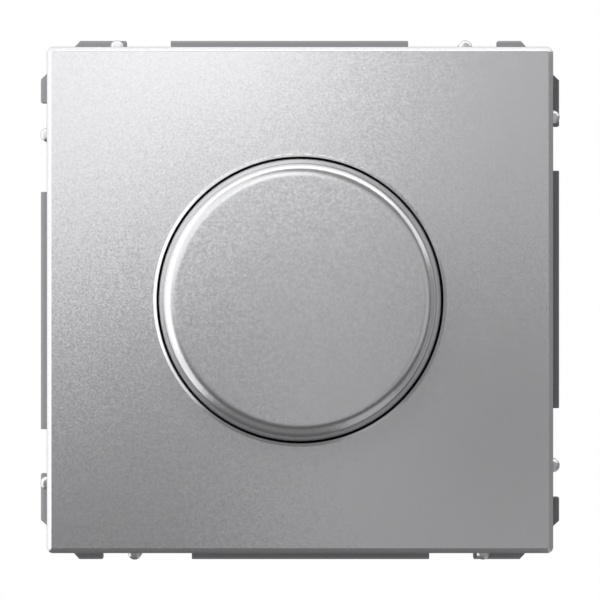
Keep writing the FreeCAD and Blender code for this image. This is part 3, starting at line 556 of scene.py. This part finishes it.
def knob_cap():
    """Outer shell of the knob: a closed cup profile turned about its axis.

    The wall leans outwards towards the base; the front edge is an arc, and the inside follows
    the outside one wall thickness further in.
    """
    lean = (knob_base_radius - knob_top_radius) / (knob_base - knob_face)
    flat_radius = knob_top_radius - knob_rounding
    inner_front = knob_top_radius + lean * knob_wall - knob_wall
    profile = eased_path(
        [(0.0, knob_face), (flat_radius, knob_face), (knob_top_radius, knob_face),
         (knob_base_radius, knob_base), (knob_base_radius - knob_wall, knob_base),
         (inner_front, knob_face + knob_wall), (0.0, knob_face + knob_wall)],
        [0.0, knob_rounding, knob_base_edge, knob_base_edge, knob_inner_bevel],
        steps=16,
    )
    cap = piece_from("knob_cap_shell", [revolved(profile, columns=256)])
    return worn_by(cap, "knob_cap")


def return_spring():
    """Coil spring of round wire that the push of the knob squeezes.

    At turn angle a the wire's middle lies at x = radius cos a and z = -radius sin a, while its
    depth grows evenly from the bridge to the switch base.
    """
    low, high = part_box("return_spring")
    angle = np.linspace(0, spring_turns * TURN, spring_steps * spring_turns + 1)
    outward = np.stack([np.cos(angle), 0 * angle, -np.sin(angle)], axis=-1)
    path = spring_radius * outward
    path[:, 1] = np.linspace(low.y + spring_wire_radius, high.y - spring_wire_radius, len(angle))
    coil = carried(path, outward, spring_wire_radius, sides=12)
    spring = worn_by(piece_from("return_spring_coil", [coil]), "return_spring")
    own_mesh(spring)


def choke_winding():
    """Enamelled wire wound side by side round the ring core.

    Within a turn the wire follows a superellipse round the core's section: half width times the
    signed power of cos, and half height times the same power of sin. Meanwhile the section's
    plane turns evenly about the ring's axis, from one side of the open gap to the other.
    """
    low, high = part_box("choke_winding")
    core_low, core_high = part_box("choke_core")
    centre = (core_low + core_high) / 2
    outer = centre.x - low.x - winding_wire_radius
    middle_radius = (outer + winding_inner_radius) / 2
    half_width = (outer - winding_inner_radius) / 2
    half_height = (high.y - low.y) / 2 - winding_wire_radius
    share = np.linspace(0, 1, winding_steps * winding_turns + 1)
    turn = (share * winding_turns + 0.25) * TURN
    plane = winding_open_angle / 2 + share * (TURN - winding_open_angle)
    across = np.sign(np.cos(turn)) * np.abs(np.cos(turn)) ** winding_squareness
    along = np.sign(np.sin(turn)) * np.abs(np.sin(turn)) ** winding_squareness
    radius = middle_radius + half_width * across
    x = centre.x + radius * np.cos(plane)
    y = centre.y + half_height * along
    z = centre.z + radius * np.sin(plane)
    path = np.stack([x, y, z], axis=-1)
    outward = np.stack([-np.sin(plane), 0 * plane, np.cos(plane)], axis=-1)
    wire = carried(path, outward, winding_wire_radius, sides=10)
    worn_by(piece_from("choke_winding_wire", [wire]), "choke_winding")


def resistors():
    """Row of resistors: bodies with thicker ends, and one round wire bent down at both ends.

    A body is a profile of (radius, place along X) turned about its own axis; the wire is a round
    bar carried along a path with rounded corners.
    """
    low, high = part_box("resistors")
    axis = high.y - resistor_radius
    reach = high.x - resistor_lead_inset
    end = resistor_half_length
    waist = end - resistor_end_width
    half_profile = [(resistor_radius, end), (resistor_radius, waist + resistor_end_width / 3),
                    (resistor_waist_radius, waist - resistor_end_width / 3)]
    corners = [(0.0, end)] + half_profile + [(r, -s) for r, s in reversed(half_profile)] + [(0.0, -end)]
    half_roundings = [resistor_end_rounding, resistor_waist_rounding, resistor_waist_rounding]
    profile = eased_path(corners, half_roundings * 2, steps=5)
    surfaces = []
    for z in np.linspace(low.z + resistor_radius, high.z - resistor_radius, resistor_count):
        points, quads = revolved(profile, columns=28)
        surfaces.append((points[..., [1, 0, 2]] + np.array([0, axis, z]), quads))
        corners = [(-reach, low.y, z), (-reach, axis, z), (reach, axis, z), (reach, low.y, z)]
        path = eased_path(corners, [resistor_lead_bend, resistor_lead_bend], steps=8)
        surfaces.append(carried(path, (0, 0, 1), resistor_lead_radius, sides=10))
    worn_by(piece_from("resistor_row", surfaces), "resistors")


def in_row(middle, spacing, count):
    """Places evenly spaced about a middle one."""
    return [middle + spacing * (number - (count - 1) / 2) for number in range(count)]


def lead_places():
    """Where the leads of the mounted pieces come through the board, as (x, z) about the knob's axis."""
    places = [(x, 0.0) for x in in_row(0.0, switch_lead_spacing, 2)]
    places += [(x, -pot_leg_drop) for x in in_row(0.0, pot_leg_spacing, 3)]
    places += [(power_lead_offset, z) for z in in_row(power_lead_rise, power_lead_spacing, 3)]
    places += [(x, -bar_drop) for x in in_row(0.0, bar_spacing, 3)]
    places += [(film_lead_offset, z) for z in in_row(-film_lead_drop, film_lead_spacing, 2)]
    places += [(-can_lead_offset, z) for z in in_row(-can_lead_drop, can_lead_spacing, 2)]
    return places


def solder_joints():
    """Solder round every lead behind the board: a cone with a hollow flank.

    At height share s its radius is the tip's plus (1 - s) squared times what the foot has more.
    """
    share = np.linspace(0, 1, 8)
    radius = solder_tip_radius + (solder_radius - solder_tip_radius) * (1 - share) ** 2
    depth = board_rear + share * solder_height
    profile = [(0.0, board_rear)] + list(zip(radius, depth)) + [(0.0, board_rear + solder_height)]
    low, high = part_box("resistors")
    reach = high.x - resistor_lead_inset
    rows = np.linspace(low.z + resistor_radius, high.z - resistor_radius, resistor_count)
    places = lead_places() + [(x, z) for x in (-reach, reach) for z in rows]
    cones = [revolved(profile, columns=20, place=place) for place in places]
    joints = piece_from("solder_joints", cones)
    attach(joints, "root")
    joints.data.materials.append(plated("solder", (0.68, 0.68, 0.66), 0.24))


def softened(node, width):
    """Copy of a solid with its sharp edges taken off by a small bevel; it stands for the solid."""
    form = bmesh.new()
    form.from_mesh(frame["nodes"][node].data)
    bmesh.ops.remove_doubles(form, verts=form.verts, dist=1e-7)
    bmesh.ops.dissolve_limit(form, angle_limit=flat_angle, verts=form.verts, edges=form.edges)
    mesh = bpy.data.meshes.new(node + "_soft")
    form.to_mesh(mesh)
    form.free()
    mesh.shade_smooth()
    mesh.set_sharp_from_angle(angle=crease_angle)
    piece = bpy.data.objects.new(node + "_soft", mesh)
    bpy.context.scene.collection.objects.link(piece)
    bevel = piece.modifiers.new("edges", "BEVEL")
    bevel.width = width
    bevel.segments = 2
    bevel.limit_method = "ANGLE"
    bevel.angle_limit = edge_angle
    bevel.harden_normals = True
    worn_by(piece, node)


def worn_by(piece, node):
    """Let a finished piece stand for a solid, ride on its body and take its slot's finish."""
    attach(piece, body_of[node])
    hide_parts(node)
    piece.data.materials.append(finish_of(slot_of[node]))
    return piece


def new_material(name, colour, roughness, metallic=0.0):
    """Plain finish: one shader with the colour, roughness and metalness set on its own sockets."""
    material = bpy.data.materials.new(name)
    material.use_nodes = True
    shader = material.node_tree.nodes["Principled BSDF"]
    shader.inputs["Base Color"].default_value = (*colour, 1.0)
    shader.inputs["Roughness"].default_value = roughness
    shader.inputs["Metallic"].default_value = metallic
    return material, shader


def object_noise(material, scale, detail=2.0):
    """Noise over the piece's own coordinates, in features per metre."""
    nodes, links = material.node_tree.nodes, material.node_tree.links
    place = nodes.new("ShaderNodeTexCoord")
    noise = nodes.new("ShaderNodeTexNoise")
    noise.inputs["Scale"].default_value = scale
    noise.inputs["Detail"].default_value = detail
    links.new(place.outputs["Object"], noise.inputs["Vector"])
    return noise


def grained(material, shader, noise, height):
    """Fine bumps from a noise."""
    nodes, links = material.node_tree.nodes, material.node_tree.links
    bump = nodes.new("ShaderNodeBump")
    bump.inputs["Strength"].default_value = height
    bump.inputs["Distance"].default_value = grain_depth
    links.new(noise.outputs["Fac"], bump.inputs["Height"])
    links.new(bump.outputs["Normal"], shader.inputs["Normal"])


def flaked(material, shader, noise, tilt):
    """Flakes of a metallic coat: the surface's normal leans a little, another way in every grain.

    The noise's three channels, less their middle value, give the lean along the three axes.
    """
    nodes, links = material.node_tree.nodes, material.node_tree.links
    surface = nodes.new("ShaderNodeNewGeometry")
    lean = nodes.new("ShaderNodeVectorMath")
    lean.operation = "MULTIPLY_ADD"
    lean.inputs[1].default_value = (2 * tilt, 2 * tilt, 2 * tilt)
    links.new(noise.outputs["Color"], lean.inputs[0])
    middle = nodes.new("ShaderNodeVectorMath")
    middle.operation = "SUBTRACT"
    middle.inputs[1].default_value = (tilt, tilt, tilt)
    links.new(surface.outputs["Normal"], middle.inputs[0])
    links.new(middle.outputs["Vector"], lean.inputs[2])
    unit = nodes.new("ShaderNodeVectorMath")
    unit.operation = "NORMALIZE"
    links.new(lean.outputs["Vector"], unit.inputs[0])
    links.new(unit.outputs["Vector"], shader.inputs["Normal"])


def tinted(material, shader, noise, dark, light):
    """Colour that wanders between two shades with a noise."""
    nodes, links = material.node_tree.nodes, material.node_tree.links
    ramp = nodes.new("ShaderNodeValToRGB")
    ramp.color_ramp.elements[0].position = 0.3
    ramp.color_ramp.elements[0].color = (*dark, 1.0)
    ramp.color_ramp.elements[1].position = 0.7
    ramp.color_ramp.elements[1].color = (*light, 1.0)
    links.new(noise.outputs["Fac"], ramp.inputs["Fac"])
    links.new(ramp.outputs["Color"], shader.inputs["Base Color"])
    return ramp.outputs["Color"]


def shades(colour, spread):
    """A colour made darker and lighter by a share."""
    return [c * (1 - spread) for c in colour], [min(1.0, c * (1 + spread)) for c in colour]


def satin_silver():
    """Satin metallic coat with fine flakes over the front, bare grey plastic behind its end.

    The depth of a place, from its own coordinates, tells the coat from the bare plastic.
    """
    material, shader = new_material("satin_silver", coat_colour, coat_roughness, 1.0)
    flakes = object_noise(material, flake_scale, 1.0)
    coat = tinted(material, shader, flakes, *shades(coat_colour, coat_tone_spread))
    flaked(material, shader, flakes, flake_tilt)
    nodes, links = material.node_tree.nodes, material.node_tree.links
    place = nodes.new("ShaderNodeTexCoord")
    parts = nodes.new("ShaderNodeSeparateXYZ")
    links.new(place.outputs["Object"], parts.inputs["Vector"])
    depth = parts.outputs["Y"]
    links.new(beyond(material, depth, 1.0, 0.0), shader.inputs["Metallic"])
    links.new(beyond(material, depth, coat_roughness, bare_roughness), shader.inputs["Roughness"])
    mix = nodes.new("ShaderNodeMix")
    mix.data_type = "RGBA"
    links.new(beyond(material, depth, 0.0, 1.0), mix.inputs["Factor"])
    links.new(coat, mix.inputs["A"])
    mix.inputs["B"].default_value = (*bare_colour, 1.0)
    links.new(mix.outputs["Result"], shader.inputs["Base Color"])
    return material


def beyond(material, depth, ahead, behind):
    """A value that changes where the coat ends, from the one ahead of that depth to the one behind."""
    change = material.node_tree.nodes.new("ShaderNodeMapRange")
    change.inputs["From Min"].default_value = coat_end
    change.inputs["From Max"].default_value = coat_end + coat_fade
    change.inputs["To Min"].default_value = ahead
    change.inputs["To Max"].default_value = behind
    material.node_tree.links.new(depth, change.inputs["Value"])
    return change.outputs["Result"]


def moulded(name, colour, roughness, texture_scale=2600.0):
    """Moulded plastic with a faint texture."""
    material, shader = new_material(name, colour, roughness)
    texture = object_noise(material, texture_scale)
    tinted(material, shader, texture, *shades(colour, plastic_tone_spread))
    grained(material, shader, texture, plastic_grain)
    return material


def plated(name, colour, roughness, spread=0.08, texture_scale=700.0):
    """Plated or bare metal with a slightly uneven tone."""
    material, shader = new_material(name, colour, roughness, 1.0)
    texture = object_noise(material, texture_scale, 3.0)
    tinted(material, shader, texture, *shades(colour, spread))
    grained(material, shader, texture, metal_grain)
    return material


def resistor_coat():
    """Baked beige coat with coloured rings round the body, and tinned wire beyond its ends.

    The distance along the body tells the rings apart.
    """
    material, shader = new_material("resistor_coat", resistor_colour, 0.35)
    nodes, links = material.node_tree.nodes, material.node_tree.links
    place = nodes.new("ShaderNodeTexCoord")
    parts = nodes.new("ShaderNodeSeparateXYZ")
    links.new(place.outputs["Object"], parts.inputs["Vector"])
    along = nodes.new("ShaderNodeMapRange")
    along.inputs["From Min"].default_value = -resistor_half_length
    along.inputs["From Max"].default_value = resistor_half_length
    links.new(parts.outputs["X"], along.inputs["Value"])
    ramp = nodes.new("ShaderNodeValToRGB")
    rings = ramp.color_ramp
    rings.interpolation = "CONSTANT"
    colours = [(body_end, resistor_colour), (1 - body_end, tinned_wire)]
    for number, colour in enumerate(ring_colours):
        start = first_ring + number * ring_spacing
        colours += [(start, colour), (start + ring_width, resistor_colour)]
    rings.elements[0].color = (*tinned_wire, 1.0)
    rings.elements.remove(rings.elements[1])
    for position, colour in sorted(colours):
        rings.elements.new(position).color = (*colour, 1.0)
    links.new(along.outputs["Result"], ramp.inputs["Fac"])
    links.new(ramp.outputs["Color"], shader.inputs["Base Color"])
    distance = nodes.new("ShaderNodeMath")
    distance.operation = "ABSOLUTE"
    links.new(parts.outputs["X"], distance.inputs[0])
    wire = nodes.new("ShaderNodeMath")
    wire.operation = "GREATER_THAN"
    wire.inputs[1].default_value = resistor_half_length
    links.new(distance.outputs[0], wire.inputs[0])
    links.new(wire.outputs[0], shader.inputs["Metallic"])
    return material


def fuse_tube_glass():
    """Clear glass of the fuse."""
    material, shader = new_material("fuse_tube_glass", (0.93, 0.96, 0.96), 0.03)
    shader.inputs["Transmission Weight"].default_value = 1.0
    shader.inputs["IOR"].default_value = 1.5
    return material


def board_laminate():
    """Lacquered laminate with a woven tone under the lacquer."""
    colour = (0.06, 0.24, 0.11)
    material, shader = new_material("board_laminate", colour, 0.32)
    weave = object_noise(material, 1800.0, 3.0)
    tinted(material, shader, weave, *shades(colour, lacquer_tone_spread))
    grained(material, shader, weave, lacquer_grain)
    return material


finishes = {
    "satin_silver": satin_silver,
    "grey_plastic": lambda: moulded("grey_plastic", (0.47, 0.48, 0.50), 0.5),
    "light_plastic": lambda: moulded("light_plastic", (0.72, 0.72, 0.69), 0.45),
    "black_plastic": lambda: moulded("black_plastic", (0.035, 0.035, 0.04), 0.42),
    "block_plastic": lambda: moulded("block_plastic", (0.72, 0.72, 0.69), 0.45),
    "zinc_steel": lambda: plated("zinc_steel", (0.66, 0.67, 0.69), 0.34),
    "brass": lambda: plated("brass", (0.78, 0.58, 0.27), 0.30),
    "nickel": lambda: plated("nickel", (0.74, 0.71, 0.66), 0.22, spread=0.03),
    "track_laminate": lambda: moulded("track_laminate", (0.26, 0.15, 0.08), 0.4),
    "board_laminate": board_laminate,
    "resistor_coat": resistor_coat,
    "pad_rubber": lambda: moulded("pad_rubber", (0.42, 0.48, 0.52), 0.7),
    "ferrite": lambda: moulded("ferrite", (0.07, 0.07, 0.075), 0.5, texture_scale=2500.0),
    "winding_copper": lambda: plated("winding_copper", (0.62, 0.25, 0.10), 0.28),
    "capacitor_plastic": lambda: moulded("capacitor_plastic", (0.66, 0.50, 0.10), 0.35),
    "capacitor_can": lambda: moulded("capacitor_can", (0.04, 0.05, 0.10), 0.3),
    "fuse_tube_glass": fuse_tube_glass,
}
made_finishes = {}


def finish_of(slot):
    """The material of a slot, made once."""
    if slot not in made_finishes:
        made_finishes[slot] = finishes[slot]()
    return made_finishes[slot]


def dress_solids():
    """Give every solid that is still shown the finish of its slot."""
    for name, node in frame["nodes"].items():
        if node.hide_render:
            continue
        node.data.materials.clear()
        node.data.materials.append(finish_of(slot_of[name]))


def camera():
    """Camera straight in front, so that the plate's face fills the photograph's share of the frame."""
    data = bpy.data.cameras.new("camera")
    data.sensor_width = sensor_width
    data.lens = sensor_width * camera_distance / view_width
    data.clip_start = 0.01
    data.clip_end = 20.0
    seen = bpy.data.objects.new("camera", data)
    seen.location = (0.0, plate_face - camera_distance, 0.0)
    seen.rotation_euler = (math.pi / 2, 0.0, 0.0)
    bpy.context.scene.collection.objects.link(seen)
    bpy.context.scene.camera = seen


def softbox(name, place, width, brightness):
    """Square area lamp that faces the origin; shiny surfaces see the tent's cards instead of it."""
    data = bpy.data.lights.new(name, "AREA")
    data.shape = "SQUARE"
    data.size = width
    data.energy = brightness * math.pi * width**2
    lamp = bpy.data.objects.new(name, data)
    lamp.location = place
    lamp.rotation_euler = (-Vector(place)).to_track_quat("-Z", "Y").to_euler()
    lamp.visible_camera = False
    lamp.visible_glossy = False
    bpy.context.scene.collection.objects.link(lamp)


def card(name, corners, brightness):
    """Flat studio card that only shiny surfaces see, as evenly bright as a lit board."""
    mesh = bpy.data.meshes.new(name)
    mesh.from_pydata(corners, [], [(0, 1, 2, 3)])
    board = bpy.data.objects.new(name, mesh)
    bpy.context.scene.collection.objects.link(board)
    material = bpy.data.materials.new(name)
    material.use_nodes = True
    nodes, links = material.node_tree.nodes, material.node_tree.links
    nodes.clear()
    glow = nodes.new("ShaderNodeEmission")
    glow.inputs["Color"].default_value = (brightness, brightness, brightness * 1.01, 1.0)
    out = nodes.new("ShaderNodeOutputMaterial")
    links.new(glow.outputs["Emission"], out.inputs["Surface"])
    mesh.materials.append(material)
    board.visible_camera = False
    board.visible_diffuse = False
    board.visible_shadow = False
    board.visible_transmission = False


def tent_card(name, wall, first_span, second_span, brightness, forward=0.0):
    """Card on one wall of the tent around the part, moved forward from the wall towards the part.

    Spans and the way forward are in millimetres. On the front and rear walls the spans run across
    and up, on the side walls in depth and up, and on the top and low walls in depth and across.
    The rear wall stands twice as far away as the others.
    """
    reach = tent_half - forward * MM
    (a, b), (c, d) = np.array([first_span, second_span]) * MM
    corners = {
        "front": [(a, -reach, c), (b, -reach, c), (b, -reach, d), (a, -reach, d)],
        "left": [(-reach, a, c), (-reach, b, c), (-reach, b, d), (-reach, a, d)],
        "right": [(reach, a, c), (reach, b, c), (reach, b, d), (reach, a, d)],
        "top": [(c, a, reach), (d, a, reach), (d, b, reach), (c, b, reach)],
        "low": [(c, a, -reach), (d, a, -reach), (d, b, -reach), (c, b, -reach)],
        "rear": [(a, 2 * reach, c), (b, 2 * reach, c), (b, 2 * reach, d), (a, 2 * reach, d)],
    }
    card(name, corners[wall], brightness)


def tent():
    """Cards that the satin metal shows: bright at the left and above, dark below and at the right."""
    whole = (-tent_half / MM, tent_half / MM)
    # In front
    tent_card("front_board", "front", whole, whole, 0.55)
    tent_card("low_front_board", "front", whole, (-160, -53), 0.12, forward=2)
    tent_card("lower_left_board", "front", (-107, -6), (-58, 6), 0.26, forward=4)
    tent_card("upper_left_softbox", "front", (-160, -16), (2, 160), 1.21, forward=6)
    tent_card("left_reflector", "front", (-160, -33), (-14, -3), 0.79, forward=8)
    tent_card("front_softbox", "front", (-29, 9), (22, 104), 1.58, forward=10)
    tent_card("right_front_board", "front", (16, 45), (-31, 5), 0.23, forward=12)
    tent_card("upper_right_board", "front", (30, 160), (90, 160), 0.25, forward=2)
    # At the left
    tent_card("left_front_softbox", "left", (-160, -105), whole, 1.25)
    tent_card("left_softbox", "left", (-105, -10), whole, 2.0)
    tent_card("left_low_board", "left", (-160, -10), (-160, -60), 1.1, forward=2)
    tent_card("left_rear_softbox", "left", (-10, 100), whole, 1.2)
    tent_card("left_rear_board", "left", (100, 320), whole, 0.15)
    # Behind
    tent_card("rear_board", "rear", whole, whole, 0.5)
    # At the right
    tent_card("right_board", "right", (-160, 320), whole, 0.18)
    tent_card("right_middle_board", "right", (-100, 0), (-160, 50), 0.34, forward=2)
    tent_card("right_rear_reflector", "right", (18, 70), (-160, 50), 0.45, forward=2)
    tent_card("right_side_board", "right", (-160, -100), (-160, 0), 0.08, forward=2)
    tent_card("right_softbox", "right", (-80, 60), (50, 160), 1.1, forward=2)
    # Above
    tent_card("top_front_board", "top", (-160, -72), whole, 0.26)
    tent_card("top_left_softbox", "top", (-160, -72), (-160, -50), 0.9, forward=2)
    tent_card("top_softbox", "top", (-72, -10), whole, 2.0)
    tent_card("top_rear_softbox", "top", (-10, 90), whole, 1.1)
    tent_card("top_rear_board", "top", (90, 320), whole, 0.2)
    # Below
    tent_card("low_board", "low", (-160, 0), whole, 0.22)
    tent_card("low_rear_board", "low", (0, 320), whole, 0.13)
    tent_card("low_right_reflector", "low", (-160, 60), (50, 160), 0.5, forward=2)


def directly_seen(tree):
    """One for what the camera sees, by itself or in shiny and clear surfaces, and zero for the rest."""
    rays = tree.nodes.new("ShaderNodeLightPath")
    seen = rays.outputs["Is Camera Ray"]
    for kind in ("Is Glossy Ray", "Is Transmission Ray"):
        either = tree.nodes.new("ShaderNodeMath")
        either.operation = "MAXIMUM"
        tree.links.new(seen, either.inputs[0])
        tree.links.new(rays.outputs[kind], either.inputs[1])
        seen = either.outputs[0]
    return seen


def white_room():
    """World that is white to the camera and to shiny and clear surfaces, and lights the rest softly."""
    world = bpy.data.worlds.new("studio")
    bpy.context.scene.world = world
    world.use_nodes = True
    nodes, links = world.node_tree.nodes, world.node_tree.links
    background = nodes["Background"]
    seen = directly_seen(world.node_tree)
    strength = nodes.new("ShaderNodeMapRange")
    strength.inputs["To Min"].default_value = room_light
    strength.inputs["To Max"].default_value = 1.0
    links.new(seen, strength.inputs["Value"])
    links.new(strength.outputs["Result"], background.inputs["Strength"])
    background.inputs["Color"].default_value = (1.0, 1.0, 1.0, 1.0)


def floor():
    """Plain pale floor that blends into the white room with distance and is clear from underneath.

    The distance from the origin, over the floor, tells how much of the room's white is added.
    """
    mesh = bpy.data.meshes.new("floor")
    corners = np.array([(-1, -1), (1, -1), (1, 1), (-1, 1)]) * floor_half
    points = [(x, y, floor_level) for x, y in corners]
    mesh.from_pydata(points, [], [(0, 1, 2, 3)])
    ground = bpy.data.objects.new("floor", mesh)
    bpy.context.scene.collection.objects.link(ground)
    paint, shader = new_material("floor_paint", floor_colour, 0.9)
    nodes, links = paint.node_tree.nodes, paint.node_tree.links
    place = nodes.new("ShaderNodeTexCoord")
    distance = nodes.new("ShaderNodeVectorMath")
    distance.operation = "LENGTH"
    links.new(place.outputs["Object"], distance.inputs[0])
    blend = nodes.new("ShaderNodeMapRange")
    blend.inputs["From Min"].default_value = floor_blend_start
    blend.inputs["From Max"].default_value = floor_half
    blend.inputs["To Min"].default_value = floor_glow
    blend.inputs["To Max"].default_value = 1.0
    links.new(distance.outputs["Value"], blend.inputs["Value"])
    glow = nodes.new("ShaderNodeMath")
    glow.operation = "MULTIPLY"
    links.new(directly_seen(paint.node_tree), glow.inputs[0])
    links.new(blend.outputs["Result"], glow.inputs[1])
    shader.inputs["Emission Color"].default_value = (1.0, 1.0, 1.0, 1.0)
    links.new(glow.outputs[0], shader.inputs["Emission Strength"])
    underneath = nodes.new("ShaderNodeNewGeometry")
    clear = nodes.new("ShaderNodeBsdfTransparent")
    sides = nodes.new("ShaderNodeMixShader")
    links.new(underneath.outputs["Backfacing"], sides.inputs[0])
    links.new(shader.outputs["BSDF"], sides.inputs[1])
    links.new(clear.outputs["BSDF"], sides.inputs[2])
    links.new(sides.outputs[0], nodes["Material Output"].inputs["Surface"])
    mesh.materials.append(paint)


def studio():
    """Room, floor, lamps for the matte pieces and the tent of cards for the metal."""
    white_room()
    floor()
    tent()
    softbox("key_softbox", place=(-0.35, -0.55, 0.45), width=0.4, brightness=12.5)
    softbox("fill_softbox", place=(0.5, -0.4, 0.2), width=0.4, brightness=0.3)
    softbox("rear_softbox", place=(0.1, 0.6, 0.5), width=0.5, brightness=6.0)


bpy.context.scene.view_settings.view_transform = "Standard"
front_plate()
knob_cap()
return_spring()
choke_winding()
resistors()
solder_joints()
for node, width in soft_edges.items():
    softened(node, width)
dress_solids()
camera()
studio()
